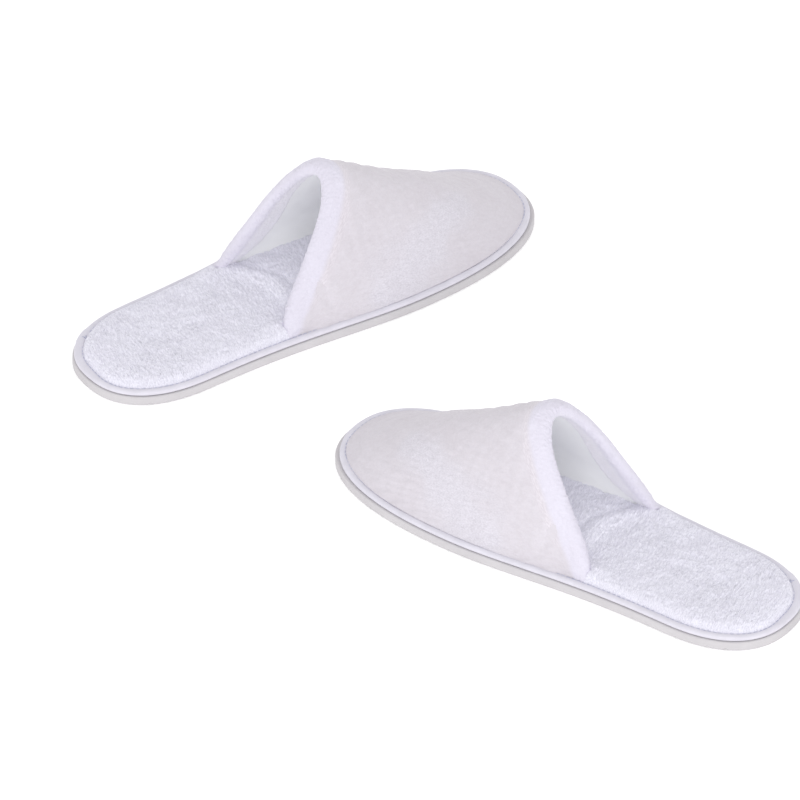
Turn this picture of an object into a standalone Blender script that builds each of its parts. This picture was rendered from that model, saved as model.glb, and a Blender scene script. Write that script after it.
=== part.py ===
"""A pair of closed-toe spa slippers: plush upper, terry footbed, bound edge, foam outsole.

One slipper is drawn in its own frame and placed twice, the second time mirrored.
In that frame u runs from the heel tip to the toe tip, v runs across and z is height
above the floor. Every length below is in millimetres; objects are made in metres.
"""
import math

import bmesh
import bpy
import numpy as np

MM = 0.001

# Where the two slippers stand
YAW = math.radians(35.6)
HEEL_SPREAD = 372.0
HEEL_STAGGER = 209.3

# Footprint of the outsole
LENGTH = 285.0
HEEL_AT, HEEL_HALF, HEEL_POWER = 54.0, 39.8, 2.36
BALL_AT, BALL_HALF, TOE_POWER = 187.0, 49.0, 2.38
WAIST_HOLD = 1.35
TOE_SETBACK = 1.8
EDGE_INSET = 0.8

# Sole bend: every sole layer is in two lengths that part here
FLEX_AT, FLEX_GAP = 100.0, 0.5
BEND_AXIS = (FLEX_AT, 0.0, 12.0)

# Heights of the sole layers
OUTSOLE_TOP = 5.2
TAPE = 0.5
TAPE_WIDTH = 4.2
TAPE_LOW, TAPE_HIGH = 5.4, 8.3
LAYER_INSET = 1.9
BOARD_LOW, BOARD_TOP = 6.1, 6.7
FOAM_LOW = 7.0
COVER_LOW = 6.9
COVER_EDGE_TOP = {"front": 7.2, "heel": 7.6}
SEAM_LOW, SEAM_TOP = 7.35, 7.65
SEAM_INSET = 2.0
THREAD_RADIUS, THREAD_INSET, THREAD_LIFT = 0.4, 3.9, 0.1

# How the padding swells inwards from the pinched edge: inset, foam top, cover top
PINCHED_TO = {"front": 13.0, "heel": 5.8}
SWELL = {
    "front": ((14.0, 7.3, 8.1), (17.5, 8.5, 9.9), (23.0, 9.2, 10.9)),
    "heel": ((6.8, 7.3, 8.5), (10.0, 8.8, 10.3), (17.0, 9.6, 11.3)),
}
COVER_GAP = 0.3

# Upper
OPENING_AT = 106.5
SHOULDER_AT = 118.0
OPENING_LEAN = 0.70
ARCH_AT = 158.0
ARCH_RISE = 74.0
BACK_SLOPE = 0.12
RIDGE_POWER = 1.07
UPPER_INSET = 5.4
FLANK_THICKEN, RIDGE_THICKEN = 1.03, 1.19
PLUSH, PADDING, LINING, LAYER_GAP = 1.5, 2.0, 0.7, 0.4
FOLD = 10.0
UPPER_TIP = LENGTH - TOE_SETBACK - UPPER_INSET

# Moulded ribs under the outsole
TREAD_PITCH, TREAD_WIDTH, TREAD_DEPTH = 9.0, 1.6, 0.7
TREAD_SPANS = {"front": (158.0, 268.0), "heel": (18.0, 76.0)}

# Mesh fineness
ARC_POINTS = 90
TOE_STEPS = 12
HEEL_STEPS = 11
BEND_WEIGHT, ARCH_WEIGHT = 60.0, 25.0
ROW_SPACING = (1.0, 0.84, 0.66, 0.48, 0.3, 0.14)
ROLL = tuple(math.radians(angle) for angle in (36.0, 90.0, 144.0))
LEAN_ROUNDS = 40
SMOOTH_UNDER = math.radians(40.0)

LOOKS = {
    "plush": ((0.80, 0.76, 0.82), 0.95),
    "terry": ((0.71, 0.70, 0.79), 0.95),
    "lining_cloth": ((0.62, 0.62, 0.68), 0.85),
    "padding_foam": ((0.83, 0.80, 0.70), 0.90),
    "insole_board": ((0.55, 0.47, 0.36), 0.85),
    "binding_tape": ((0.75, 0.73, 0.83), 0.60),
    "sewing_thread": ((0.55, 0.56, 0.68), 0.70),
    "eva_foam": ((0.65, 0.61, 0.61), 0.70),
}


def clear_scene():
    """Start from an empty file."""
    for item in list(bpy.data.objects):
        bpy.data.objects.remove(item, do_unlink=True)


def make_look(name):
    """Principled material for one kind of stuff."""
    colour, roughness = LOOKS[name]
    look = bpy.data.materials.new(name)
    look.use_nodes = True
    shader = look.node_tree.nodes["Principled BSDF"]
    shader.inputs["Base Color"].default_value = (*colour, 1.0)
    shader.inputs["Roughness"].default_value = roughness
    return look


# ---------------------------------------------------------------- footprint curves

def outline():
    """The outsole's edge on the +v side, heel tip to toe tip."""
    turn = np.linspace(0.0, math.pi / 2, ARC_POINTS)
    flank = np.linspace(0.0, 1.0, ARC_POINTS)[1:-1]
    held = flank ** WAIST_HOLD
    ease = held * held * (3.0 - 2.0 * held)
    heel, toe = 2.0 / HEEL_POWER, 2.0 / TOE_POWER
    back = turn[::-1]
    u = np.concatenate((HEEL_AT * (1.0 - np.abs(np.cos(turn)) ** heel),
                        HEEL_AT + (BALL_AT - HEEL_AT) * flank,
                        BALL_AT + (LENGTH - BALL_AT) * np.abs(np.cos(back)) ** toe))
    v = np.concatenate((HEEL_HALF * np.sin(turn) ** heel,
                        HEEL_HALF + (BALL_HALF - HEEL_HALF) * ease,
                        BALL_HALF * np.sin(back) ** toe))
    return np.column_stack((u, v))


def inset_edge(inset, setback=TOE_SETBACK):
    """The footprint's edge moved inwards, with its toe drawn back by a further setback."""
    curve = outline()
    run = np.gradient(curve, axis=0)
    normal = np.column_stack((-run[:, 1], run[:, 0]))
    normal /= np.linalg.norm(normal, axis=1)[:, None]
    normal[0], normal[-1] = (-1.0, 0.0), (1.0, 0.0)
    curve = curve - inset * normal
    ahead = curve[:, 0] > BALL_AT
    reach = curve[-1, 0] - BALL_AT
    curve[ahead, 0] = BALL_AT + (curve[ahead, 0] - BALL_AT) * (reach - setback) / reach
    return curve


def travel(curve, bend_weight):
    """Distance along a curve that also counts how far it turns, so bends get more points."""
    step = np.diff(curve, axis=0)
    length = np.linalg.norm(step, axis=1)
    heading = step / length[:, None]
    cosine = np.clip((heading[1:] * heading[:-1]).sum(axis=1), -1.0, 1.0)
    turn = np.concatenate(([0.0], np.arccos(cosine)))
    return np.concatenate(([0.0], np.cumsum(length + bend_weight * turn)))


def stretch(curve, start, end, steps):
    """Points of a footprint curve between two values of u, closest where it bends."""
    along = travel(curve, BEND_WEIGHT)
    first, last = np.interp((start, end), curve[:, 0], along)
    marks = np.linspace(first, last, steps + 1)
    return np.column_stack([np.interp(marks, along, curve[:, axis]) for axis in (0, 1)])


def mirrored(flank):
    """A +v flank, run from the -v side round its tip to the +v side."""
    near = flank * (1.0, -1.0)
    return np.vstack((near, flank[-2::-1]))


def toe_draw(depth):
    """How much further a layer this deep inside the upper ends short of the toe."""
    drawn = (UPPER_TIP - ARCH_AT) * (RIDGE_THICKEN * depth / ARCH_RISE) ** (1.0 / RIDGE_POWER)
    return drawn - FLANK_THICKEN * depth


def sole_setback(half, inset):
    """The sole's layers stay clear of the upper where they swell up inside it."""
    if half == "heel" or inset <= UPPER_INSET:
        return TOE_SETBACK
    return TOE_SETBACK + toe_draw((inset - UPPER_INSET) / FLANK_THICKEN)


def ring(half, inset, setback=None):
    """One sole half's edge, from the near end of its parting line round to the far end."""
    curve = inset_edge(inset, sole_setback(half, inset) if setback is None else setback)
    if half == "heel":
        return mirrored(stretch(curve, FLEX_AT - FLEX_GAP / 2, curve[0, 0], HEEL_STEPS))
    waist = stretch(curve, FLEX_AT + FLEX_GAP / 2, SHOULDER_AT, 1)
    nose = stretch(curve, SHOULDER_AT, curve[-1, 0], TOE_STEPS)
    return mirrored(np.vstack((waist, nose[1:])))


# ---------------------------------------------------------------- bodies from rings

def raise_ring(flat, height):
    """Lift a flat ring to one height."""
    return np.column_stack((flat, np.full(len(flat), height)))


def strip(first, second):
    """Quads between two rows of point numbers."""
    return [(first[i], first[i + 1], second[i + 1], second[i]) for i in range(len(first) - 1)]


def rows_of(count, width):
    """Point numbers of each row of a stack."""
    return [[row * width + i for i in range(width)] for row in range(count)]


def layer_body(half, profile, setback=None):
    """A sole layer: rings of (inset, height) joined from its bottom face to its top face."""
    rings = [raise_ring(ring(half, inset, setback), height) for inset, height in profile]
    rows = rows_of(len(rings), len(rings[0]))
    faces = [quad for low, high in zip(rows, rows[1:]) for quad in strip(low, high)]
    faces += [rows[0], rows[-1], [row[0] for row in rows] + [row[-1] for row in rows[::-1]]]
    return np.vstack(rings), faces


def band_body(half, section):
    """A closed section of (inset, height) carried along one sole half's edge."""
    rings = [raise_ring(ring(half, inset), height) for inset, height in section]
    rows = rows_of(len(rings), len(rings[0]))
    faces = [quad for low, high in zip(rows, rows[1:] + rows[:1]) for quad in strip(low, high)]
    faces += [[row[0] for row in rows], [row[-1] for row in rows]]
    return np.vstack(rings), faces


# ---------------------------------------------------------------- sole layers

def outsole_profile():
    """Flat foam sole with softened edges."""
    return ((0.9, 0.0), (0.2, 0.5), (0.0, 1.3), (0.0, 4.4), (0.7, OUTSOLE_TOP))


def board_profile():
    """Stiff insole board."""
    return ((LAYER_INSET, BOARD_LOW), (LAYER_INSET, BOARD_TOP))


def foam_profile(half):
    """Flat-bottomed pad inside the bound edge, swelling towards the middle."""
    swell = SWELL[half]
    return ((swell[0][0], FOAM_LOW),) + tuple((inset, top) for inset, top, _ in swell)


def cover_profile(half):
    """Terry cloth laid over the pad, pinched flat where it is sewn down."""
    swell = SWELL[half]
    pinch, edge_top = PINCHED_TO[half], COVER_EDGE_TOP[half]
    under = tuple((inset, top + COVER_GAP) for inset, top, _ in reversed(swell))
    edge = ((pinch, COVER_LOW), (LAYER_INSET, COVER_LOW), (LAYER_INSET, edge_top),
            (pinch, edge_top))
    return under + edge + tuple((inset, top) for inset, _, top in swell)


def tape_section():
    """Tape folded round the edge: rounded outside, open inwards, longer leg on top."""
    outer, inner = EDGE_INSET, EDGE_INSET + TAPE_WIDTH
    low_end, low, high = inner - 1.8, TAPE_LOW, TAPE_HIGH
    return ((low_end, low), (outer + 0.6, low), (outer, low + 0.7), (outer, high - 1.0),
            (outer + 0.5, high - 0.3), (outer + 1.8, high), (inner - 0.7, high),
            (inner, high - 0.2), (inner, high - TAPE), (outer + 1.2, high - TAPE),
            (outer + TAPE, high - 1.1), (outer + TAPE, low + 0.9), (outer + 0.8, low + TAPE),
            (low_end, low + TAPE))


def thread_section():
    """The seam's thread, lying on top of the tape."""
    middle = TAPE_HIGH + THREAD_LIFT + THREAD_RADIUS
    spokes = [math.pi * (0.25 + 0.5 * i) for i in range(4)]
    return tuple((THREAD_INSET + THREAD_RADIUS * math.cos(spoke),
                  middle + THREAD_RADIUS * math.sin(spoke)) for spoke in spokes)


# ---------------------------------------------------------------- upper

def ridge(u, depth):
    """How high the upper's middle line stands above its foot, at a depth under the pile."""
    ahead = np.clip((UPPER_TIP - np.asarray(u)) / (UPPER_TIP - ARCH_AT), 0.0, 1.0)
    behind = np.clip(ARCH_AT - np.asarray(u), 0.0, None)
    return ARCH_RISE * ahead ** RIDGE_POWER + BACK_SLOPE * behind - RIDGE_THICKEN * depth


def foot_edge(depth):
    """Where a layer of the upper at some depth meets the sole."""
    return inset_edge(UPPER_INSET + FLANK_THICKEN * depth, TOE_SETBACK + toe_draw(depth))


def foot_height(depth):
    """The outside of the pile starts on top of its seam allowance, all else beneath it."""
    return SEAM_TOP if depth == 0.0 else SEAM_LOW


def drape(plan, depth, edge):
    """Lift plan points onto the upper's surface at a depth."""
    width = np.maximum(np.interp(plan[:, 0], edge[:, 0], edge[:, 1]), MM)
    fullness = np.clip(1.0 - (plan[:, 1] / width) ** 2, 0.0, 1.0)
    height = foot_height(depth) + ridge(plan[:, 0], depth) * fullness
    return np.column_stack((plan, height))


def opening(across, depth, edge):
    """Plan of the opening's edge at some shares of its half width; it leans back as it rises."""
    half = np.interp(OPENING_AT, edge[:, 0], edge[:, 1])
    plan = np.column_stack((np.full(len(across), OPENING_AT), half * across))
    for _ in range(LEAN_ROUNDS):
        rise = drape(plan, depth, edge)[:, 2] - foot_height(depth)
        plan[:, 0] += 0.5 * (OPENING_AT + OPENING_LEAN * rise - plan[:, 0])
    return plan


def arch_shares():
    """Shares of the half width, corner to arch, evenly spaced but closer where it bends."""
    even = np.linspace(1.0, 0.0, ARC_POINTS)
    edge = foot_edge(0.0)
    along = travel(drape(opening(even, 0.0, edge), 0.0, edge), ARCH_WEIGHT)
    return np.interp(np.linspace(0.0, along[-1], TOE_STEPS + 1), along, even)


def upper_row(depth, share):
    """A row of the upper, share 0 at the opening's edge and 1 at the sole."""
    edge = foot_edge(depth)
    top = opening(arch_shares(), depth, edge)
    foot = stretch(edge, SHOULDER_AT, edge[-1, 0], TOE_STEPS)
    share = np.broadcast_to(share, TOE_STEPS + 1)[:, None]
    flank = drape(top + (foot - top) * share, depth, edge)
    on_sole = share[:, 0] == 1.0
    on_sole[0] = True
    flank[on_sole, 2] = foot_height(depth)
    return np.vstack((flank * (1.0, -1.0, 1.0), flank[-2::-1]))


def rim_row(depth, out):
    """A row of the rolled rim, standing out from the opening's edge."""
    edge_row, inside_row = upper_row(depth, 0.0), upper_row(depth, 0.05)
    away = edge_row - inside_row
    away /= np.linalg.norm(away, axis=1)[:, None]
    return edge_row + out * away


def fold_share():
    """How far forward the fold inside the opening reaches, as a share of each row."""
    top, foot = upper_row(PLUSH, 0.0), upper_row(PLUSH, 1.0)
    reach = np.linalg.norm(foot - top, axis=1)[:TOE_STEPS + 1]
    return FOLD / reach


def folded_rows(depth):
    """The rows that the fold covers, from the opening's edge to the fold's end."""
    return [upper_row(depth, value * fold_share()) for value in (0.0, 0.5, 1.0)]


def full_rows(depth):
    """All rows of one surface of the upper, from the sole to the opening's edge."""
    share = fold_share()
    ahead = [upper_row(depth, share + (1.0 - share) * value) for value in ROW_SPACING]
    return ahead + folded_rows(depth)[::-1]


def facets(first, second):
    """Triangles between two rows, cut the same way in every layer so that layers nest."""
    pairs = [((a, b, c), (a, c, d)) for a, b, c, d in strip(first, second)]
    return [triangle for pair in pairs for triangle in pair]


def sheet_body(outer, inner):
    """A sheet closed all round, from its outer and inner rows."""
    rows = rows_of(len(outer) + len(inner), len(outer[0]))
    outside, inside = rows[:len(outer)], rows[len(outer):]
    faces = [tri for side in (outside, inside) for a, b in zip(side, side[1:])
             for tri in facets(a, b)]
    faces += strip(outside[0], inside[0]) + strip(outside[-1], inside[-1])
    faces += [(a[end], b[end], d[end], c[end]) for end in (0, -1)
              for a, b, c, d in zip(outside, outside[1:], inside, inside[1:])]
    return np.vstack(outer + inner), faces


def seam_row(height):
    """The seam allowance's edge, out under the binding."""
    curve = inset_edge(SEAM_INSET)
    flank = stretch(curve, SHOULDER_AT, curve[-1, 0], TOE_STEPS)
    return raise_ring(mirrored(flank), height)


def plush_body():
    """Pile fabric: seam allowance, outside of the upper, rolled rim, fold inside."""
    thick = 2 * PLUSH + PADDING + LINING + 3 * LAYER_GAP
    middle = thick / 2
    rows = []
    for height, depth in ((SEAM_TOP, 0.0), (SEAM_LOW, PLUSH)):
        radius = middle - depth
        roll = [rim_row(middle - radius * math.cos(turn), radius * math.sin(turn))
                for turn in ROLL]
        rows.append([seam_row(height)] + full_rows(depth) + roll + folded_rows(thick - depth))
    return sheet_body(*rows)


def layer_of_upper(depth, thick):
    """A plain layer of the upper under the pile."""
    return sheet_body(full_rows(depth), full_rows(depth + thick))


# ---------------------------------------------------------------- objects

def make_empty(name, parent, location, yaw=0.0):
    """An empty that carries pieces."""
    empty = bpy.data.objects.new(name, None)
    bpy.context.collection.objects.link(empty)
    empty.parent = parent
    empty.location = [value * MM for value in location]
    empty.rotation_euler = (0.0, 0.0, yaw)
    return empty


def make_object(name, body, look, holder, mirror):
    """One closed object in its own material, its origin on the empty that holds it."""
    points, faces = body
    offset = BEND_AXIS if holder.name.endswith("bend") else (0.0, 0.0, 0.0)
    points = (points * (1.0, -1.0 if mirror else 1.0, 1.0) - offset) * MM
    mesh = bpy.data.meshes.new(name)
    mesh.from_pydata(points.tolist(), [], [list(face) for face in faces])
    work = bmesh.new()
    work.from_mesh(mesh)
    bmesh.ops.recalc_face_normals(work, faces=work.faces)
    work.to_mesh(mesh)
    work.free()
    mesh.shade_smooth()
    mesh.set_sharp_from_angle(angle=SMOOTH_UNDER)
    mesh.materials.append(look)
    item = bpy.data.objects.new(name, mesh)
    bpy.context.collection.objects.link(item)
    item.parent = holder
    return item


def tread_bars(half):
    """Bars that cut the ribs under one outsole half."""
    start, end = TREAD_SPANS[half]
    reach = BALL_HALF + TREAD_PITCH
    points, faces = [], []
    for at in np.arange(start, end, TREAD_PITCH):
        base = len(points)
        points += [(at + along, across, height) for height in (-1.0, TREAD_DEPTH)
                   for along, across in ((0.0, -reach), (TREAD_WIDTH, -reach),
                                         (TREAD_WIDTH, reach), (0.0, reach))]
        faces += [[base + corner for corner in face] for face in
                  ((0, 1, 2, 3), (4, 5, 6, 7), (0, 1, 5, 4), (1, 2, 6, 5), (2, 3, 7, 6),
                   (3, 0, 4, 7))]
    return np.array(points), faces


def cut_tread(outsole, half, look, holder, mirror):
    """Ribs moulded into the outsole's underside."""
    cutter = make_object(f"cutter_{outsole.name}", tread_bars(half), look, holder, mirror)
    cutter.hide_render = True
    cutter.display_type = "WIRE"
    ribs = outsole.modifiers.new("ribs", "BOOLEAN")
    ribs.operation = "DIFFERENCE"
    ribs.solver = "EXACT"
    ribs.object = cutter


def make_sole(side, half, looks, holder, mirror):
    """Outsole, board, pad, terry cover, binding and thread of one half."""
    layers = (("outsole", layer_body(half, outsole_profile(), 0.0), "eva_foam"),
              ("insole_board", layer_body(half, board_profile()), "insole_board"),
              ("insole_foam", layer_body(half, foam_profile(half)), "padding_foam"),
              ("terry_cover", layer_body(half, cover_profile(half)), "terry"),
              ("binding", band_body(half, tape_section()), "binding_tape"),
              ("stitching", band_body(half, thread_section()), "sewing_thread"))
    made = [make_object(f"{side}_{name}_{half}", body, looks[look], holder, mirror)
            for name, body, look in layers]
    cut_tread(made[0], half, looks["eva_foam"], holder, mirror)


def make_upper(side, looks, holder, mirror):
    """Plush outside, padding and lining of one upper."""
    padding_at = PLUSH + LAYER_GAP
    lining_at = padding_at + PADDING + LAYER_GAP
    for name, body, look in (
            ("plush", plush_body(), "plush"),
            ("padding", layer_of_upper(padding_at, PADDING), "padding_foam"),
            ("lining", layer_of_upper(lining_at, LINING), "lining_cloth")):
        make_object(f"{side}_upper_{name}", body, looks[look], holder, mirror)


def pair_middle():
    """How far along Y the left heel tip lies from the middle of the pair's box."""
    edge = np.vstack((ring("front", 0.0, 0.0), ring("heel", 0.0, 0.0)))
    reach = edge[:, 0] * math.sin(YAW) + edge[:, 1] * math.cos(YAW)
    return (reach.min() + reach.max() - HEEL_STAGGER) / 2


def main():
    clear_scene()
    looks = {name: make_look(name) for name in LOOKS}
    heel_y = -pair_middle()
    stands = {"left": ((-HEEL_SPREAD / 2, heel_y, 0.0), YAW, False),
              "right": ((HEEL_SPREAD / 2, heel_y - HEEL_STAGGER, 0.0), math.pi - YAW, True)}
    for side, (heel_tip, yaw, mirror) in stands.items():
        slipper = make_empty(f"{side}_slipper", None, heel_tip, yaw)
        bend = make_empty(f"{side}_bend", slipper, BEND_AXIS)
        make_sole(side, "front", looks, slipper, mirror)
        make_sole(side, "heel", looks, bend, mirror)
        make_upper(side, looks, slipper, mirror)


main()
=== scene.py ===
"""Looks of a pair of spa slippers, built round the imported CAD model.

One slipper is worked out in its own frame, in millimetres: u from the heel tip to the toe
tip, v across (towards +v on the far side) and z up. It is placed twice, once mirrored.
"""

import math

import bmesh
import bpy
import numpy as np
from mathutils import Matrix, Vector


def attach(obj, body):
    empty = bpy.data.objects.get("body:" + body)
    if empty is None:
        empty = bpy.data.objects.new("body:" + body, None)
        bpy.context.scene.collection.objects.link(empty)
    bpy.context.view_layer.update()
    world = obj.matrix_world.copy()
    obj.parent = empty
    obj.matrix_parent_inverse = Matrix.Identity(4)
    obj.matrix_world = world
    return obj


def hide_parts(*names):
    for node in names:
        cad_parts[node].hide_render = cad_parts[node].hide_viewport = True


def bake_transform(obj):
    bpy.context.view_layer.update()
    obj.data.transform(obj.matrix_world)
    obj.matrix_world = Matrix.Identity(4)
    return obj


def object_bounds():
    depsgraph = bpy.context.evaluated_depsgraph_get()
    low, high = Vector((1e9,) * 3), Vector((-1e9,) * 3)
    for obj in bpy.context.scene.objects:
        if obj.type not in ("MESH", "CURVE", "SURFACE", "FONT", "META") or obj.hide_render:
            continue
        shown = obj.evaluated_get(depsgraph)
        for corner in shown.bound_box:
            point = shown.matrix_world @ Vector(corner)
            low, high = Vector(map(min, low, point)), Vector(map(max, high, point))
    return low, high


MM = 0.001

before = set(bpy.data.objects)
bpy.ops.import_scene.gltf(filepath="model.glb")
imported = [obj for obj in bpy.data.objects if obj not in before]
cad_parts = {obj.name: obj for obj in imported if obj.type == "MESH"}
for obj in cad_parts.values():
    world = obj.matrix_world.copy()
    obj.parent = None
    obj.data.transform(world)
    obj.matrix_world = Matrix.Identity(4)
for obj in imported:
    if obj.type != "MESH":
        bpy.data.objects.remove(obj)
CAD_BOX = [[float(value) for value in corner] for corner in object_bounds()]

# ---- shared dimensions
YAW = math.radians(35.6)
HEEL_SPREAD, HEEL_STAGGER = 372.0, 209.3

LENGTH = 285.0
HEEL_AT, HEEL_HALF, HEEL_POWER = 54.0, 39.8, 2.36
BALL_AT, BALL_HALF, TOE_POWER = 187.0, 49.0, 2.38
WAIST_HOLD = 1.35
TOE_SETBACK = 1.8

OUTSOLE_TOP = 5.2
BOARD_LOW, BOARD_TOP = 6.1, 6.7
LAYER_INSET = 1.9
SEAM_LOW, SEAM_TOP, SEAM_INSET = 7.35, 7.65, 2.0
STITCH_INSET, STITCH_PITCH = 3.9, 3.1

OPENING_AT, SHOULDER_AT, OPENING_LEAN = 106.5, 118.0, 0.70
ARCH_AT, ARCH_RISE, BACK_SLOPE, RIDGE_POWER = 158.0, 74.0, 0.12, 1.07
UPPER_INSET = 5.4
FLANK_THICKEN, RIDGE_THICKEN = 1.03, 1.19
PLUSH, RIM_THICK = 1.5, 6.9
LINING_OUT, LINING_IN = 4.3, 5.0
UPPER_TIP = LENGTH - TOE_SETBACK - UPPER_INSET

TREAD_PITCH, TREAD_WIDTH, TREAD_DEPTH = 9.0, 1.6, 0.7
TREAD_SPANS = ((158.0, 268.0), (18.0, 76.0))
FINE_PITCH, FINE_RIB_HALF, FINE_DEPTH = 3.0, 1.05, 0.22

DENSE = 420
ARCH_CROWDING = 14.0
SPINE = (48.0, 235.0)


# ---- random fields

X_PRIME, Y_PRIME, Z_PRIME = np.uint64(73856093), np.uint64(19349663), np.uint64(83492791)
SEED_PRIME = 2654435761
HASH_ROUNDS = ((15, 2246822519), (13, 3266489917))
LOW_32, LOW_16 = np.uint64(0xFFFFFFFF), np.uint64(0xFFFF)


def hashed(x, y, z, seed):
    """A repeatable random number in -1..1 for each lattice point."""
    word = (x * X_PRIME) ^ (y * Y_PRIME) ^ (z * Z_PRIME)
    word = (word + np.uint64(seed * SEED_PRIME)) & LOW_32
    for shift, factor in HASH_ROUNDS:
        word = ((word ^ (word >> np.uint64(shift))) * np.uint64(factor)) & LOW_32
    word ^= word >> np.uint64(16)
    return (word & LOW_16).astype(float) / (int(LOW_16) / 2) - 1.0


def noise(points, size, seed):
    """Smooth random field in -1..1 with features of the given size along each axis."""
    cell = points / np.asarray(size, float)
    low = np.floor(cell)
    part = cell - low
    part = part * part * (3.0 - 2.0 * part)
    low = low.astype(np.int64).astype(np.uint64)
    total = np.zeros(len(points))
    for corner in range(8):
        bits = [(corner >> axis) & 1 for axis in range(3)]
        weight = np.ones(len(points))
        for axis, bit in enumerate(bits):
            weight = weight * (part[:, axis] if bit else 1.0 - part[:, axis])
        at = [low[:, axis] + np.uint64(bit) for axis, bit in enumerate(bits)]
        total += weight * hashed(*at, seed)
    return total


def ease(value):
    """Smooth step from 0 to 1."""
    value = np.clip(value, 0.0, 1.0)
    return value * value * (3.0 - 2.0 * value)


def bell(value, size):
    """Smooth hump, 1 at zero and nearly 0 beyond twice the size."""
    return np.exp(-(value / size) ** 2)


def flat_points(plan):
    """Plan points as one list of points on the ground, for reading random fields."""
    flat = plan[..., :2].reshape(-1, 2)
    return np.column_stack((flat, np.zeros(len(flat))))


# ---- footprint and upper

def outline():
    """The outsole's edge on the +v side, heel tip to toe tip."""
    turn = np.linspace(0.0, math.pi / 2, DENSE)
    flank = np.linspace(0.0, 1.0, DENSE)[1:-1]
    heel, toe = 2.0 / HEEL_POWER, 2.0 / TOE_POWER
    back = turn[::-1]
    u = np.concatenate((HEEL_AT * (1.0 - np.abs(np.cos(turn)) ** heel),
                        HEEL_AT + (BALL_AT - HEEL_AT) * flank,
                        BALL_AT + (LENGTH - BALL_AT) * np.abs(np.cos(back)) ** toe))
    v = np.concatenate((HEEL_HALF * np.sin(turn) ** heel,
                        HEEL_HALF + (BALL_HALF - HEEL_HALF) * ease(flank ** WAIST_HOLD),
                        BALL_HALF * np.sin(back) ** toe))
    return np.column_stack((u, v))


OUTLINE = outline()


def inset_edge(inset, setback=TOE_SETBACK):
    """The footprint's edge moved inwards, its toe drawn back by a further setback."""
    run = np.gradient(OUTLINE, axis=0)
    normal = np.column_stack((-run[:, 1], run[:, 0]))
    normal /= np.linalg.norm(normal, axis=1)[:, None]
    normal[0], normal[-1] = (-1.0, 0.0), (1.0, 0.0)
    curve = OUTLINE - inset * normal
    ahead = curve[:, 0] > BALL_AT
    reach = curve[-1, 0] - BALL_AT
    curve[ahead, 0] = BALL_AT + (curve[ahead, 0] - BALL_AT) * (reach - setback) / reach
    return curve


def travel(curve, bend_weight=0.0):
    """Distance along a curve; turning can count as distance, so bends get more points."""
    step = np.diff(curve, axis=0)
    length = np.linalg.norm(step, axis=1)
    heading = step / length[:, None]
    cosine = np.clip((heading[1:] * heading[:-1]).sum(axis=1), -1.0, 1.0)
    turn = np.concatenate(([0.0], np.arccos(cosine)))
    return np.concatenate(([0.0], np.cumsum(length + bend_weight * turn)))


def sample(curve, along, marks):
    """Points of a curve at marks measured along it."""
    return np.column_stack([np.interp(marks, along, curve[:, axis])
                            for axis in range(curve.shape[1])])


def stretch(curve, start, end, steps, bend_weight=20.0):
    """Points of a footprint curve between two values of u."""
    along = travel(curve, bend_weight)
    first, last = np.interp((start, end), curve[:, 0], along)
    return sample(curve, along, np.linspace(first, last, steps + 1))


def toe_draw(depth):
    """How much further a layer this deep inside the upper ends short of the toe."""
    drawn = (UPPER_TIP - ARCH_AT) * (RIDGE_THICKEN * depth / ARCH_RISE) ** (1.0 / RIDGE_POWER)
    return drawn - FLANK_THICKEN * depth


def foot_edge(depth):
    """Where a layer of the upper at some depth meets the sole."""
    return inset_edge(UPPER_INSET + FLANK_THICKEN * depth, TOE_SETBACK + toe_draw(depth))


def foot_height(depth):
    """Height at which a layer of the upper starts."""
    return SEAM_TOP if depth == 0.0 else SEAM_LOW


def ridge(u, depth):
    """How high the upper's middle line stands above its foot."""
    ahead = np.clip((UPPER_TIP - u) / (UPPER_TIP - ARCH_AT), 0.0, 1.0)
    behind = np.clip(ARCH_AT - u, 0.0, None)
    return ARCH_RISE * ahead ** RIDGE_POWER + BACK_SLOPE * behind - RIDGE_THICKEN * depth


def upper_height(u, v, depth, edge):
    """Height of the upper's surface at some depth."""
    width = np.maximum(np.interp(u, edge[:, 0], edge[:, 1]), MM)
    fullness = np.clip(1.0 - (v / width) ** 2, 0.0, 1.0)
    return foot_height(depth) + ridge(u, depth) * fullness


def drape(plan, depth, edge):
    """Plan points lifted onto the upper's surface."""
    return np.column_stack((plan, upper_height(plan[:, 0], plan[:, 1], depth, edge)))


def opening(across, depth, edge):
    """Plan of the opening's edge at shares of its half width; it leans back as it rises."""
    half = np.interp(OPENING_AT, edge[:, 0], edge[:, 1])
    plan = np.column_stack((np.full(len(across), OPENING_AT), half * across))
    for _ in range(40):
        rise = drape(plan, depth, edge)[:, 2] - foot_height(depth)
        plan[:, 0] += (OPENING_AT + OPENING_LEAN * rise - plan[:, 0]) / 2
    return plan


def arch_shares(steps):
    """Shares of the half width, corner to arch, closer together at the arch."""
    even = np.linspace(1.0, 0.0, DENSE)
    edge = foot_edge(0.0)
    along = travel(drape(opening(even, 0.0, edge), 0.0, edge), ARCH_CROWDING)
    return np.interp(np.linspace(0.0, along[-1], steps + 1), along, even)


def upper_rows(depth, shares, steps):
    """Rows of the upper, share 0 at the opening's edge and 1 at the sole; (rows, points, 3)."""
    edge = foot_edge(depth)
    top = opening(arch_shares(steps), depth, edge)
    foot = stretch(edge, SHOULDER_AT, edge[-1, 0], steps)
    rows = []
    for share in shares:
        share = np.broadcast_to(share, steps + 1)[:, None]
        flank = drape(top + (foot - top) * share, depth, edge)
        on_sole = share[:, 0] == 1.0
        on_sole[0] = True
        flank[on_sole, 2] = foot_height(depth)
        rows.append(np.vstack((flank * (1.0, -1.0, 1.0), flank[-2::-1])))
    return np.array(rows)


# ---- mesh helpers

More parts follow.
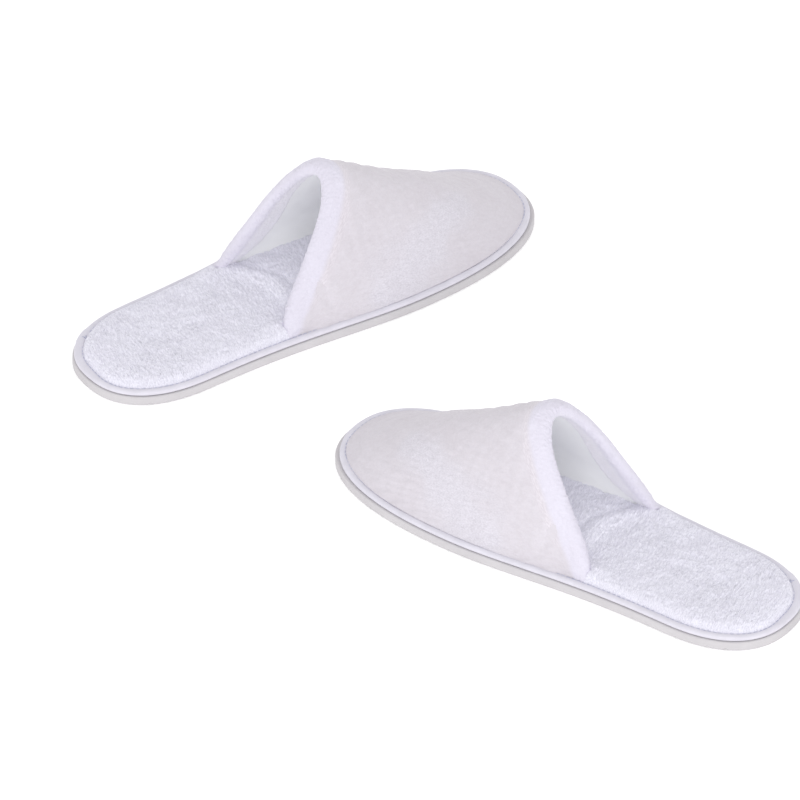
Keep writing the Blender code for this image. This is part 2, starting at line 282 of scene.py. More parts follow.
def grid_faces(rows, columns, wrap_rows=False, wrap_columns=False, base=0):
    """Quads of a grid of points."""
    first = np.arange(rows if wrap_rows else rows - 1)
    second = np.arange(columns if wrap_columns else columns - 1)
    row, column = np.meshgrid(first, second, indexing="ij")
    row, column = row.ravel() * columns, column.ravel()
    next_row, next_column = (row + columns) % (rows * columns), (column + 1) % columns
    return base + np.column_stack((row + column, row + next_column, next_row + next_column,
                                   next_row + column))


def joined(first, second):
    """Quads between two matching runs of point numbers."""
    return np.column_stack((first[:-1], first[1:], second[1:], second[:-1]))


def outer_normals(grid):
    """Unit normals on the upper side of a grid, and whether its faces wind that way."""
    normal = np.cross(np.gradient(grid, axis=0), np.gradient(grid, axis=1))
    normal /= np.maximum(np.linalg.norm(normal, axis=2, keepdims=True), 1e-9)
    winds_up = normal[grid.shape[0] // 2, grid.shape[1] // 2, 2] < 0.0
    return (-normal if winds_up else normal), winds_up


def row_lengths(grid):
    """Distance along each column from its first row."""
    step = np.linalg.norm(np.diff(grid, axis=0), axis=2)
    return np.vstack((np.zeros(grid.shape[1]), np.cumsum(step, axis=0)))


def read_noise(grid, size, seed):
    """A random field read at every point of a grid."""
    return noise(grid.reshape(-1, 3), size, seed).reshape(grid.shape[:2])


def shell(front, back):
    """Two sheets closed along their edges into one thin solid."""
    points = np.vstack((front.reshape(-1, 3), back.reshape(-1, 3)))
    columns = front.shape[1]
    base = front.shape[0] * columns
    ahead = np.arange(base).reshape(-1, columns)
    behind = np.arange(base, len(points)).reshape(-1, columns)
    quads = [grid_faces(len(front), columns), grid_faces(len(back), columns, base=base),
             joined(ahead[0], behind[0]), joined(ahead[-1], behind[-1])]
    if front.shape == back.shape:
        quads += [joined(ahead[:, column], behind[:, column]) for column in (0, -1)]
        return points, np.vstack(quads), []
    caps = [np.concatenate((ahead[:, column], behind[::-1, column])).tolist()
            for column in (0, -1)]
    return points, np.vstack(quads), caps


def heel_tip():
    """The left heel tip's place in the row frame, from the pair's box."""
    edge = np.vstack((OUTLINE, OUTLINE * (1.0, -1.0)))
    reach = edge[:, 0] * math.sin(YAW) + edge[:, 1] * math.cos(YAW)
    return -HEEL_SPREAD / 2, CAD_BOX[1][1] / MM - reach.max()


HEEL_X, HEEL_Y = heel_tip()


def place(points, side):
    """One slipper's points in the row frame, in metres."""
    points = np.atleast_2d(points)
    u, v, z = points.T
    x = u * math.cos(YAW) - v * math.sin(YAW) + HEEL_X
    y = u * math.sin(YAW) + v * math.cos(YAW) + HEEL_Y
    if side == "right":
        x, y = -x, y - HEEL_STAGGER
    return np.column_stack((x, y, z)) * MM


def store(mesh, name, values):
    """Numbers or vectors kept on a mesh's points for its material to read."""
    values = np.ascontiguousarray(values, dtype=np.float32)
    kind, field = ("FLOAT_VECTOR", "vector") if values.ndim == 2 else ("FLOAT", "value")
    mesh.attributes.new(name, kind, "POINT").data.foreach_set(field, values.ravel())


def linked(name, data):
    """A new object in the scene."""
    item = bpy.data.objects.new(name, data)
    bpy.context.collection.objects.link(item)
    return item


def make_piece(name, side, points, quads, caps, look, slot, marks=()):
    """A mesh object from points in the slipper's frame; it stores these points and any marks."""
    mesh = bpy.data.meshes.new(name)
    faces = [tuple(face) for face in np.asarray(quads).tolist()] + [tuple(cap) for cap in caps]
    mesh.from_pydata(place(points, side).tolist(), [], faces)
    store(mesh, "local", points)
    for mark, values in dict(marks).items():
        store(mesh, mark, values)
    work = bmesh.new()
    work.from_mesh(mesh)
    bmesh.ops.recalc_face_normals(work, faces=work.faces)
    work.to_mesh(mesh)
    work.free()
    mesh.validate()
    mesh.shade_smooth()
    mesh.materials.append(look)
    item = linked(f"{side}_{name}", mesh)
    return item


CLOTH_STEPS, CLOTH_QUALITY, CLOTH_SHEAR = 20, 8, 5.0


def settled(grid, hold, slack, pressure=1.0):
    """How far a cloth with some slack moves off a grid of points, along its normals.

    The filling pushes it out and hold, from 0 to 1, keeps each point near its place.
    """
    outward, winds_up = outer_normals(grid)
    quads = grid_faces(*grid.shape[:2])
    if not winds_up:
        quads = quads[:, ::-1]
    mesh = bpy.data.meshes.new("cloth")
    mesh.from_pydata((grid.reshape(-1, 3) * MM).tolist(), [], quads.tolist())
    item = linked("cloth", mesh)
    held = item.vertex_groups.new(name="held")
    for number, weight in enumerate(np.broadcast_to(hold, grid.shape[:2]).ravel()):
        held.add([number], float(weight), "REPLACE")
    cloth = item.modifiers.new("cloth", "CLOTH")
    cloth.point_cache.frame_start, cloth.point_cache.frame_end = 1, CLOTH_STEPS
    cloth.collision_settings.use_collision = False
    cloth.collision_settings.use_self_collision = False
    settings = cloth.settings
    settings.quality = CLOTH_QUALITY
    settings.shear_stiffness = CLOTH_SHEAR
    settings.vertex_group_mass = "held"
    settings.shrink_min = settings.shrink_max = -slack
    settings.use_pressure = True
    settings.uniform_pressure_force = pressure
    settings.effector_weights.gravity = 0.0
    for step in range(1, CLOTH_STEPS + 1):
        bpy.context.scene.frame_set(step)
    moved = item.evaluated_get(bpy.context.evaluated_depsgraph_get()).to_mesh()
    points = np.empty(grid.size)
    moved.vertices.foreach_get("co", points)
    bpy.data.objects.remove(item)
    bpy.data.meshes.remove(mesh)
    bpy.context.scene.frame_set(1)
    return ((points.reshape(grid.shape) / MM - grid) * outward).sum(axis=2)


def read_field(field, rows_at, columns_at):
    """A coarse grid of values read smoothly between its points, by cubic weights."""
    def weights(part):
        return (part * (-0.5 + part * (1.0 - 0.5 * part)),
                1.0 + part * part * (1.5 * part - 2.5),
                part * (0.5 + part * (2.0 - 1.5 * part)),
                part * part * (0.5 * part - 0.5))

    rows, columns = field.shape
    row, column = np.clip(rows_at, 0, rows - 1), np.clip(columns_at, 0, columns - 1)
    low_row, low_column = np.floor(row).astype(int), np.floor(column).astype(int)
    total = 0.0
    for down, row_weight in enumerate(weights(row - low_row)):
        for along, column_weight in enumerate(weights(column - low_column)):
            value = field[np.clip(low_row + down - 1, 0, rows - 1),
                          np.clip(low_column + along - 1, 0, columns - 1)]
            total = total + row_weight * column_weight * value
    return total


def bend_with_sole(item):
    """Bakes a sole layer's placement into its mesh points."""
    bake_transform(item)


# ---- materials

class Look:
    """A Principled material with a few shorthand calls for its nodes."""

    def __init__(self, name, colour, roughness, sheen=0.0, sheen_roughness=0.5,
                 specular=0.3):
        self.material = bpy.data.materials.new(name)
        self.material.use_nodes = True
        self.tree = self.material.node_tree
        self.shader = self.tree.nodes["Principled BSDF"]
        for socket, value in (("Base Color", (*colour, 1.0)), ("Roughness", roughness),
                              ("Sheen Weight", sheen), ("Sheen Roughness", sheen_roughness),
                              ("Specular IOR Level", specular)):
            self.shader.inputs[socket].default_value = value

    def glow(self, colour, strength, mark=None):
        """Emission, all over or where a mark says so; on the cloth parts it is painted light that
        stands in for light coming through thin white cloth.
        """
        sockets = self.shader.inputs
        sockets["Emission Strength"].default_value = strength
        if mark is None:
            sockets["Emission Color"].default_value = (*colour, 1.0)
        else:
            shade = self.mix(self.mark(mark), (0.0, 0.0, 0.0), colour)
            self.link(shade, sockets["Emission Color"])

    def node(self, kind, **values):
        """A new node; values go to its properties or its sockets."""
        node = self.tree.nodes.new(kind)
        for key, value in values.items():
            if hasattr(node, key):
                setattr(node, key, value)
            else:
                node.inputs[key].default_value = value
        return node

    def link(self, source, target):
        self.tree.links.new(source, target)

    def mark(self, name):
        """A number that the mesh stores on its points."""
        return self.node("ShaderNodeAttribute", attribute_name=name).outputs["Fac"]

    def local(self, scale=(1.0, 1.0, 1.0), turn=0.0, name="local"):
        """Coordinates in millimetres that the mesh stores, turned and then scaled."""
        stored = self.node("ShaderNodeAttribute", attribute_name=name)
        turned = self.node("ShaderNodeMapping", Rotation=(0.0, 0.0, turn))
        self.link(stored.outputs["Vector"], turned.inputs["Vector"])
        scaled = self.node("ShaderNodeVectorMath", operation="MULTIPLY")
        scaled.inputs[1].default_value = scale
        self.link(turned.outputs["Vector"], scaled.inputs[0])
        return scaled.outputs["Vector"]

    def noise(self, vector, scale, detail=2.0, roughness=0.55):
        node = self.node("ShaderNodeTexNoise", Scale=scale, Detail=detail, Roughness=roughness)
        self.link(vector, node.inputs["Vector"])
        return node.outputs["Fac"]

    def cells(self, vector, scale):
        node = self.node("ShaderNodeTexVoronoi", feature="F1", Scale=scale)
        self.link(vector, node.inputs["Vector"])
        return node.outputs["Distance"]

    def ramp(self, factor, low, high, low_at=0.3, high_at=0.7):
        """Colour between two tones as a factor goes between two values."""
        node = self.node("ShaderNodeValToRGB")
        stops = node.color_ramp.elements
        stops[0].position, stops[1].position = low_at, high_at
        stops[0].color, stops[1].color = (*low, 1.0), (*high, 1.0)
        self.link(factor, node.inputs["Fac"])
        return node.outputs["Color"]

    def mix(self, factor, first, second, blend="MIX"):
        node = self.node("ShaderNodeMix", data_type="RGBA", blend_type=blend)
        sockets = {"Factor": node.inputs[0], "A": node.inputs[6], "B": node.inputs[7]}
        for key, value in (("Factor", factor), ("A", first), ("B", second)):
            if isinstance(value, (int, float, tuple)):
                sockets[key].default_value = value if key == "Factor" else (*value, 1.0)
            else:
                self.link(value, sockets[key])
        return node.outputs[2]

    def colour(self, output):
        self.link(output, self.shader.inputs["Base Color"])

    def bump(self, heights, distance=0.0004):
        """Bump from a list of (output, strength), chained."""
        normal = None
        for output, strength in heights:
            node = self.node("ShaderNodeBump", Strength=strength, Distance=distance)
            self.link(output, node.inputs["Height"])
            if normal is not None:
                self.link(normal, node.inputs["Normal"])
            normal = node.outputs["Normal"]
        self.link(normal, self.shader.inputs["Normal"])


# How the terry's loops and the combed strokes beside the rim lie.
STREAK, COMB = math.radians(104.0), math.radians(-14.0)


def terry_look():
    """Terry loops: fine streaks across the sole, and a little painted glow under the upper that stands
    in for light through its cloth.
    """
    look = Look("terry_loops", (0.70, 0.69, 0.77), 0.95, 0.25, 0.6, 0.15)
    fine = look.noise(look.local((0.42, 2.1, 1.0), turn=STREAK), 1.0, 2.0, 0.7)
    broad = look.noise(look.local(), 0.07, 3.0)
    tone = look.ramp(fine, (0.655, 0.645, 0.74), (0.90, 0.89, 0.985), 0.3, 0.68)
    shade = look.ramp(broad, (0.98, 0.975, 0.98), (1.0, 1.0, 1.0), 0.35, 0.65)
    look.colour(look.mix(1.0, tone, shade, "MULTIPLY"))
    # Painted light: the terry glows under the upper, where the covered mark says so.
    look.glow((0.95, 0.95, 1.0), 0.09, "covered")
    grains = look.noise(look.local(), 2.3, 2.0, 0.7)
    look.bump([(fine, 1.0), (grains, 0.45)])
    return look.material


def plush_look():
    """Brushed pile: plain nap, a streaky crushed part with painted highlights, combed strokes beside
    the rim, and painted light on the rim and fold.
    """
    look = Look("plush_pile", (0.66, 0.63, 0.69), 0.92, 0.3, 0.5, 0.15)
    broad = look.noise(look.local(), 0.05, 3.0, 0.6)
    mottle = look.noise(look.local((0.7, 1.0, 1.0)), 0.5, 3.0, 0.6)
    nap = look.noise(look.local((0.5, 1.0, 1.0)), 1.7, 2.0, 0.7)
    strokes = look.noise(look.local((0.45, 1.9, 1.0), turn=COMB, name="cloth"), 0.8, 2.0, 0.6)
    plain = look.ramp(mottle, (0.648, 0.613, 0.66), (0.675, 0.643, 0.695), 0.34, 0.66)
    # Painted highlights: in the crushed band the nap is painted with brighter, bluer strokes.
    brushed_highlight = look.ramp(nap, (0.615, 0.592, 0.65), (0.735, 0.717, 0.79), 0.32, 0.66)
    base = look.mix(look.mark("crushed"), plain, brushed_highlight)
    stroked = look.ramp(strokes, (0.64, 0.60, 0.65), (0.765, 0.725, 0.78), 0.36, 0.66)
    base = look.mix(look.mark("combed"), base, stroked)
    # Painted light: the rolled rim is painted lighter and a little bluer, standing in for the light
    # the roll catches.
    base = look.mix(look.mark("rim"), base, (0.725, 0.70, 0.797))
    # Painted light: the fold inside the opening is painted lighter and less lilac, taking back its
    # shade.
    base = look.mix(look.mark("fold"), base, (0.75, 0.735, 0.79))
    shade = look.ramp(broad, (0.97, 0.965, 0.965), (1.0, 1.0, 1.0), 0.35, 0.65)
    grain = look.ramp(nap, (0.955, 0.955, 0.96), (1.0, 1.0, 1.0), 0.3, 0.62)
    look.colour(look.mix(1.0, look.mix(1.0, base, grain, "MULTIPLY"), shade, "MULTIPLY"))
    # Painted light: the fold also glows a little.
    look.glow((0.95, 0.93, 1.0), 0.10, "fold")
    hair = look.noise(look.local(), 2.8, 2.0, 0.7)
    look.bump([(nap, 0.35), (hair, 0.3), (strokes, 0.25)])
    return look.material


def lining_look():
    """Smooth knit with painted shade that makes it greyer beside the sole, and a painted glow deeper
    in that stands in for light coming through it.
    """
    look = Look("lining_knit", (0.93, 0.93, 0.96), 0.8, 0.1, 0.5, 0.25)
    soft = look.noise(look.local(), 0.06, 2.0)
    tone = look.ramp(soft, (0.83, 0.835, 0.85), (0.88, 0.885, 0.895))
    # Painted shade: the knit is painted greyer beside the sole, where the low mark says so.
    look.colour(look.mix(look.mark("low"), tone, (0.74, 0.742, 0.76)))
    # Painted light: the knit glows deeper in, where the deep mark says so.
    look.glow((0.95, 0.955, 0.965), 0.085, "deep")
    knit = look.noise(look.local(), 3.0, 2.0)
    look.bump([(knit, 0.12)])
    return look.material


def tape_look():
    """Satin tape with a fine diagonal weave."""
    look = Look("satin_tape", (0.72, 0.70, 0.78), 0.5, 0.2, 0.35, 0.4)
    soft = look.noise(look.local(), 0.12, 3.0)
    look.colour(look.ramp(soft, (0.635, 0.618, 0.688), (0.69, 0.672, 0.748)))
    weave = look.node("ShaderNodeTexWave", wave_type="BANDS", bands_direction="DIAGONAL",
                      Scale=0.9, Distortion=0.6)
    look.link(look.local(), weave.inputs["Vector"])
    look.bump([(weave.outputs["Fac"], 0.12), (look.noise(look.local(), 2.2, 2.0), 0.12)],
              0.0002)
    return look.material


def thread_look():
    """Twisted blue-grey sewing thread."""
    look = Look("blue_grey_thread", (0.55, 0.56, 0.68), 0.6, 0.2, 0.4, 0.3)
    twist = look.noise(look.local(), 1.6, 2.0)
    look.colour(look.ramp(twist, (0.43, 0.44, 0.56), (0.53, 0.54, 0.66)))
    look.bump([(twist, 0.3)], 0.0002)
    return look.material


def eva_look():
    """Closed-cell foam of the outsole."""
    look = Look("eva_foam", (0.58, 0.555, 0.575), 0.72, 0.0, 0.5, 0.35)
    broad = look.noise(look.local(), 0.05, 3.0)
    look.colour(look.ramp(broad, (0.54, 0.52, 0.54), (0.58, 0.56, 0.58)))
    cells = look.cells(look.local(), 2.4)
    look.bump([(cells, 0.2), (look.noise(look.local(), 0.7, 3.0), 0.15)], 0.0002)
    return look.material


def foam_look():
    """Soft yellowish foam that stays hidden."""
    look = Look("soft_foam", (0.83, 0.80, 0.70), 0.9)
    cells = look.cells(look.node("ShaderNodeTexCoord").outputs["Object"], 1500.0)
    look.colour(look.ramp(cells, (0.74, 0.70, 0.60), (0.86, 0.83, 0.74)))
    look.bump([(cells, 0.3)])
    return look.material


def board_look():
    """Brown fibre board that stays hidden."""
    look = Look("insole_board", (0.55, 0.47, 0.36), 0.85)
    fibres = look.noise(look.local((0.3, 1.0, 1.0)), 1.2, 4.0, 0.7)
    look.colour(look.ramp(fibres, (0.48, 0.40, 0.30), (0.62, 0.54, 0.42)))
    look.bump([(fibres, 0.2)], 0.0002)
    return look.material


# ---- sole

RING_STEPS = 520


def ring_marks():
    """Distances along the outline, and the even ones where a ring has its points."""
    along = travel(OUTLINE, 12.0)
    return along, np.linspace(0.0, along[-1], RING_STEPS + 1)


def ring_at(inset, setback=TOE_SETBACK):
    """Points all round the footprint at an inset, lined up from one inset to the next."""
    along, marks = ring_marks()
    flank = sample(inset_edge(inset, setback), along, marks)
    return np.vstack((flank * (1.0, -1.0), flank[-2:0:-1]))


def nearest_spine(points):
    """The nearest points of the line that runs down the middle of the sole."""
    return np.column_stack((np.clip(points[:, 0], *SPINE), np.zeros(len(points))))


def towards_spine(ring, share):
    """A ring drawn towards the middle line."""
    spine = nearest_spine(ring)
    return spine + (ring - spine) * share


def flat_ring(ring, height):
    """A ring of plan points at one height."""
    return np.column_stack((ring, np.broadcast_to(height, len(ring))))


def outwards(points):
    """Unit plan directions away from the middle line."""
    away = points[:, :2] - nearest_spine(points)
    return away / np.maximum(np.linalg.norm(away, axis=1), 1e-6)[:, None]


def tread(points):
    """How far the grooves cut into the outsole's underside."""
    u = points[:, 0]
    depth = np.zeros(len(points))
    for start, end in TREAD_SPANS:
        inside = (u > start - 1.0) & (u < end)
        phase = (u - start) % TREAD_PITCH
        main = np.clip(1.0 - np.abs(phase - TREAD_WIDTH / 2) / (TREAD_WIDTH / 2), 0.0, 1.0)
        fine = np.abs((u - start) % FINE_PITCH - FINE_PITCH / 2) > FINE_RIB_HALF
        cut = np.maximum(TREAD_DEPTH * ease(main * 2.0), FINE_DEPTH * fine)
        depth = np.where(inside, cut, depth)
    return depth


# Inset and height of the rings round the outsole's edge, from below to above.
OUTSOLE_EDGE = ((0.3, 0.06), (0.1, 0.3), (0.02, 0.8), (0.0, 1.5), (0.0, 2.3), (0.0, 3.1), (0.0, 3.9),
                (0.02, 4.4), (0.1, 4.75), (0.25, 5.06), (0.5, OUTSOLE_TOP),
                (1.1, OUTSOLE_TOP + 0.08))
UNDER_INSET, TOP_INSET, CORE_SHARE = 0.6, 2.8, 0.012
UNDER_RINGS, TOP_RINGS = 56, 9
TREAD_BELOW, EDGE_LOW, EDGE_HIGH, EDGE_SWAY = 0.45, 0.8, 4.6, 0.09


def ring_lid(first, count):
    """Faces that close a ring by joining the points that face each other across it."""
    at = np.arange(1, count // 2 - 1)
    quads = first + np.column_stack((at, at + 1, count - at - 1, count - at))
    heel = (first, first + 1, first + count - 1)
    toe = tuple(first + count // 2 + step for step in (0, 1, -1))
    return quads, [heel, toe]


def outsole():
    """Rings from the middle of the underside, round the edge, to the middle of the top."""
    under, top = ring_at(UNDER_INSET, 0.0), ring_at(TOP_INSET, 0.0)
    rings = [flat_ring(towards_spine(under, share), 0.0)
             for share in np.linspace(CORE_SHARE, 1.0, UNDER_RINGS)]
    rings += [flat_ring(ring_at(inset, 0.0), height) for inset, height in OUTSOLE_EDGE]
    rings += [flat_ring(towards_spine(top, share), OUTSOLE_TOP)
              for share in np.linspace(1.0, CORE_SHARE, TOP_RINGS)]
    grid = np.array(rings)
    rows, columns = grid.shape[:2]
    points = grid.reshape(-1, 3)
    low = points[:, 2] < TREAD_BELOW
    points[low, 2] += tread(points[low])
    side = (points[:, 2] > EDGE_LOW) & (points[:, 2] < EDGE_HIGH)
    sway = EDGE_SWAY * noise(points[side], (9.0, 9.0, 2.0), 31)
    points[side, :2] += outwards(points[side]) * sway[:, None]
    lids = [ring_lid(first, columns) for first in (0, (rows - 1) * columns)]
    quads = [grid_faces(rows, columns, wrap_columns=True)] + [lid for lid, _ in lids]
    return points, np.vstack(quads), [tip for _, tips in lids for tip in tips]


def strip_solid(top, bottom_height):
    """A closed slab from a grid of top points, with one wide face per row underneath."""
    rows, columns = top.shape[:2]
    sides = top[:, (0, -1)].copy()
    sides[..., 2] = bottom_height
    points = np.vstack((top.reshape(-1, 3), sides[:, 0], sides[:, 1]))
    above = np.arange(rows * columns).reshape(rows, columns)
    left = np.arange(rows * columns, rows * columns + rows)
    right = left + rows
    quads = np.vstack((grid_faces(rows, columns), joined(above[:, 0], left),
                       joined(above[:, -1], right), joined(left, right)))
    caps = [np.concatenate((above[row], (right[row], left[row]))).tolist() for row in (0, -1)]
    return points, quads, caps


def sole_grid(inset, rows, columns):
    """Plan points of a layer that fills the footprint to an inset, (rows, columns, 2)."""
    curve = inset_edge(inset)
    flank = stretch(curve, curve[0, 0], curve[-1, 0], rows - 1, 40.0)[1:-1]
    across = np.linspace(-1.0, 1.0, columns)
    plan = np.empty((len(flank), columns, 2))
    plan[:, :, 0] = flank[:, :1]
    plan[:, :, 1] = flank[:, 1:] * across
    return plan


def edge_distance(plan):
    """How far each plan point lies inside the outsole's edge."""
    edge = np.vstack((OUTLINE[::3], OUTLINE[::3] * (1.0, -1.0)))
    flat = plan.reshape(-1, 2)
    away = np.empty(len(flat))
    for start in range(0, len(flat), 400):
        block = flat[start:start + 400]
        gap = ((block[:, None, :] - edge[None]) ** 2).sum(axis=2)
        away[start:start + 400] = np.sqrt(gap.min(axis=1))
    return away.reshape(plan.shape[:2])


TAPE_WIDTH, TAPE_EXTRA, TAPE_SWAY = 4.0, 0.15, 0.3
TAPE_WIDER, WIDER_AT, WIDER_SIZE = 1.3, 6.0, 20.0
COVER_EDGE, COVER_RISE, COVER_ROUND, COVER_AT_SEAM = 7.5, 5.0, 2.3, 7.3
# Size and depth of the footbed's soft lumps, and the seed of each.
FOOTBED_LUMPS = ((26.0, 20.0, 0.45, 3), (11.0, 9.0, 0.2, 4), (5.5, 5.0, 0.15, 5))
CREASE_AT, CREASE_DEEP, CREASE_WIDE, CREASE_LIP, CREASE_STEP = 133.0, 1.3, 3.0, 0.6, 1.0
# Place, size and depth of the shallow dents in the footbed.
FOOTBED_DENTS = ((44.0, 2.0, 6.0, 0.9), (74.0, -3.0, 6.0, 0.8), (53.0, -14.0, 5.0, 0.6),
                 (96.0, 14.0, 8.0, 0.4))
BESIDE_RIM_RISE = 1.5


def tape_reach(plan):
    """How much further in than usual the hand-guided tape reaches; more at the far heel."""
    u, v = plan[..., 0], plan[..., 1]
    sway = TAPE_SWAY * noise(flat_points(plan), (21.0, 21.0, 1.0), 6).reshape(u.shape)
    wider = TAPE_WIDER * bell(u - WIDER_AT, WIDER_SIZE) * ease((v + 14.0) / 18.0)
    return TAPE_EXTRA + sway + wider


def clear_of_tape(plan):
    """How far each plan point lies inside the tape's inner edge; negative under it."""
    return edge_distance(plan) - TAPE_WIDTH - tape_reach(plan)


def footbed_form(plan):
    """Height of the terry cover's top without its loops."""
    u, v = plan[..., 0], plan[..., 1]
    clear = np.clip(clear_of_tape(plan), 0.0, None)
    height = COVER_EDGE + COVER_RISE * (1.0 - np.exp(-clear / COVER_ROUND))
    flat = flat_points(plan)
    soft = sum(deep * noise(flat, (long, wide, 1.0), seed)
               for long, wide, deep, seed in FOOTBED_LUMPS)
    height += soft.reshape(u.shape) * ease(clear / 7.0)
    crease = CREASE_AT - 12.0 * ease((v - 4.0) / 26.0) + 2.0 * ease((-v - 10.0) / 20.0)
    fold = u - crease
    inside = ease(clear / 6.0)
    height -= CREASE_DEEP * bell(fold, CREASE_WIDE) * inside
    height += CREASE_LIP * bell(fold + 8.0, 6.0) * inside
    height -= CREASE_STEP * ease(fold / 6.0) * inside
    for at_u, at_v, size, deep in FOOTBED_DENTS:
        height -= deep * bell(u - at_u, size) * bell(v - at_v, size * 0.8)
    beside_rim = bell(u - OPENING_AT + 3.0, 8.0) * ease((np.abs(v) - 22.0) / 7.0)
    return height + BESIDE_RIM_RISE * beside_rim * ease(clear / 3.0)


def under_upper(plan, height):
    """Keep the cover below the lining where the upper stands over it."""
    u, v = plan[..., 0], plan[..., 1]
    edge = foot_edge(LINING_IN)
    ceiling = upper_height(u, v, LINING_IN, edge)
    inside = np.abs(v) < np.interp(u, edge[:, 0], edge[:, 1])
    ceiling = np.where(inside, ceiling, COVER_AT_SEAM)
    covered = ease((u - OPENING_AT + 1.0) / 3.0)
    return height + covered * (np.minimum(height, ceiling) - height)


def combed(flat):
    """Plan points turned to the lie of the loops, which wanders; x runs along a loop."""
    along = flat[:, 0] * math.cos(STREAK) - flat[:, 1] * math.sin(STREAK)
    across = flat[:, 0] * math.sin(STREAK) + flat[:, 1] * math.cos(STREAK)
    across += 3.5 * noise(flat, (27.0, 27.0, 1.0), 14) + 0.4 * noise(flat, (6.0, 6.0, 1.0), 15)
    return np.column_stack((along, across, np.zeros(len(flat))))


FOOTBED_INSET, FOOTBED_LOW = 2.3, 6.9
FOOTBED_ROWS, FOOTBED_COLUMNS = 690, 232
COARSE_ROWS, COARSE_COLUMNS = 64, 23
FOOTBED_SLACK, SWELL_LIMIT, SWELL_SHARE = 0.02, 0.8, 0.4


def footbed_swell():
    """Soft unevenness of the padded footbed, from a cloth pushed up by its filling."""
    plan = sole_grid(FOOTBED_INSET, COARSE_ROWS, COARSE_COLUMNS)
    hold = np.where(edge_distance(plan) < 6.0, 1.0, 0.5)
    move = settled(np.dstack((plan, footbed_form(plan))), hold, FOOTBED_SLACK)
    at_row = (np.arange(FOOTBED_ROWS - 2) + 1.0) / (FOOTBED_ROWS - 1) * (COARSE_ROWS - 1) - 1.0
    at_column = np.linspace(0.0, COARSE_COLUMNS - 1, FOOTBED_COLUMNS)
    move = read_field(move, at_row[:, None], at_column[None])
    return SWELL_SHARE * np.clip(move, -SWELL_LIMIT, SWELL_LIMIT)


def footbed():
    """Terry cover: a puffy pad of fine loops lying in rows across the sole."""
    plan = sole_grid(FOOTBED_INSET, FOOTBED_ROWS, FOOTBED_COLUMNS)
    height = footbed_form(plan) + footbed_swell()
    flat = flat_points(plan)
    lie = combed(flat)
    loops = (0.66 * np.abs(noise(lie, (3.6, 0.8, 1.0), 11))
             + 0.46 * np.abs(noise(lie, (2.0, 0.7, 1.0), 12))
             + 0.08 * noise(flat, (2.6, 2.6, 1.0), 13) - 0.25).reshape(height.shape)
    height = under_upper(plan, height + loops * ease(clear_of_tape(plan) / 1.2))
    points, quads, caps = strip_solid(np.dstack((plan, height)), FOOTBED_LOW)
    # The covered mark says where the terry gets its painted glow under the upper.
    return points, quads, caps, {"covered": ease((points[:, 0] - OPENING_AT + 4.0) / 22.0)}


def hidden_layer(inset, low, high, rows, columns):
    """A plain inner layer of the sole."""
    plan = sole_grid(inset, rows, columns)
    height = np.full(plan.shape[:2], high)
    return strip_solid(np.dstack((plan, height)), low)


PAD_INSET, PAD_LOW, PAD_THINNEST, COVER_THICK = 7.0, 6.95, 0.1, 1.9


def pad_layer():
    """The soft pad under the terry cover."""
    plan = sole_grid(PAD_INSET, 90, 31)
    height = under_upper(plan, footbed_form(plan)) - COVER_THICK
    return strip_solid(np.dstack((plan, np.maximum(height, PAD_LOW + PAD_THINNEST))), PAD_LOW)


# Inset and height round the folded tape, from under the sole's board to its inner edge and back.
TAPE_SECTION = ((3.6, 5.55), (2.5, 5.55), (1.75, 5.55), (1.3, 5.62), (1.0, 5.86), (0.84, 6.22),
                (0.78, 6.65), (0.8, 7.05), (0.92, 7.45), (1.16, 7.82), (1.55, 8.12),
                (2.1, 8.32), (2.7, 8.38), (3.2, 8.28), (3.6, 8.08), (3.95, 7.98), (4.25, 8.02),
                (4.5, 7.95), (4.55, 7.82), (4.4, 7.76), (3.4, 7.78), (2.1, 7.74), (1.4, 7.2),
                (1.38, 6.5), (1.75, 6.12), (3.6, 6.1))


# Size, reach and seed of the tape's unevenness.
TAPE_SWAYS = ((13.0, 0.18, 21), (4.0, 0.08, 22))
LAP_FROM, LAP_TO, LAP_OUT, LAP_UP = 12.0, 25.0, 0.3, 0.22


def toe_raise(u):
    """How much higher the tape's edge stands round the toe, where it meets the upper."""
    return 0.8 * ease((u - 238.0) / 30.0)


def binding():
    """Tape folded over the edge, faintly wavy, with its overlap near the heel."""
    grid = np.array([flat_ring(ring_at(inset), height) for inset, height in TAPE_SECTION])
    rows, columns = grid.shape[:2]
    points = grid.reshape(-1, 3)
    away = outwards(points)
    seen = ease((points[:, 2] - 5.8) / 0.8)
    top = ease((points[:, 2] - 7.3) / 0.6)
    sway = sum(far * noise(points, (size, size, 30.0), seed) for size, far, seed in TAPE_SWAYS)
    toe = toe_raise(points[:, 0])
    points[:, :2] += away * (sway * seen)[:, None]
    points[:, 2] += (0.14 * noise(points, (10.0, 10.0, 30.0), 23) + toe) * top
    inset = np.repeat([inset for inset, _ in TAPE_SECTION], columns)
    points[:, :2] -= away * (tape_reach(points) * ease((inset - 1.6) / 1.8) * top)[:, None]
    lap = ease((points[:, 0] - LAP_FROM) / 0.7) * ease((LAP_TO - points[:, 0]) / 5.0)
    lap *= (points[:, 1] > 0.0) * seen
    points[:, :2] += away * (LAP_OUT * lap)[:, None]
    points[:, 2] += LAP_UP * lap * top
    return points, grid_faces(rows, columns, wrap_rows=True, wrap_columns=True), []


# Shares of a stitch's length, and its thickness there as a share of the thread's radius.
CAPSULE_STATIONS = ((0.0, 0.3), (0.08, 0.75), (0.2, 1.0), (0.5, 1.08), (0.8, 1.0), (0.92, 0.75),
                    (1.0, 0.3))


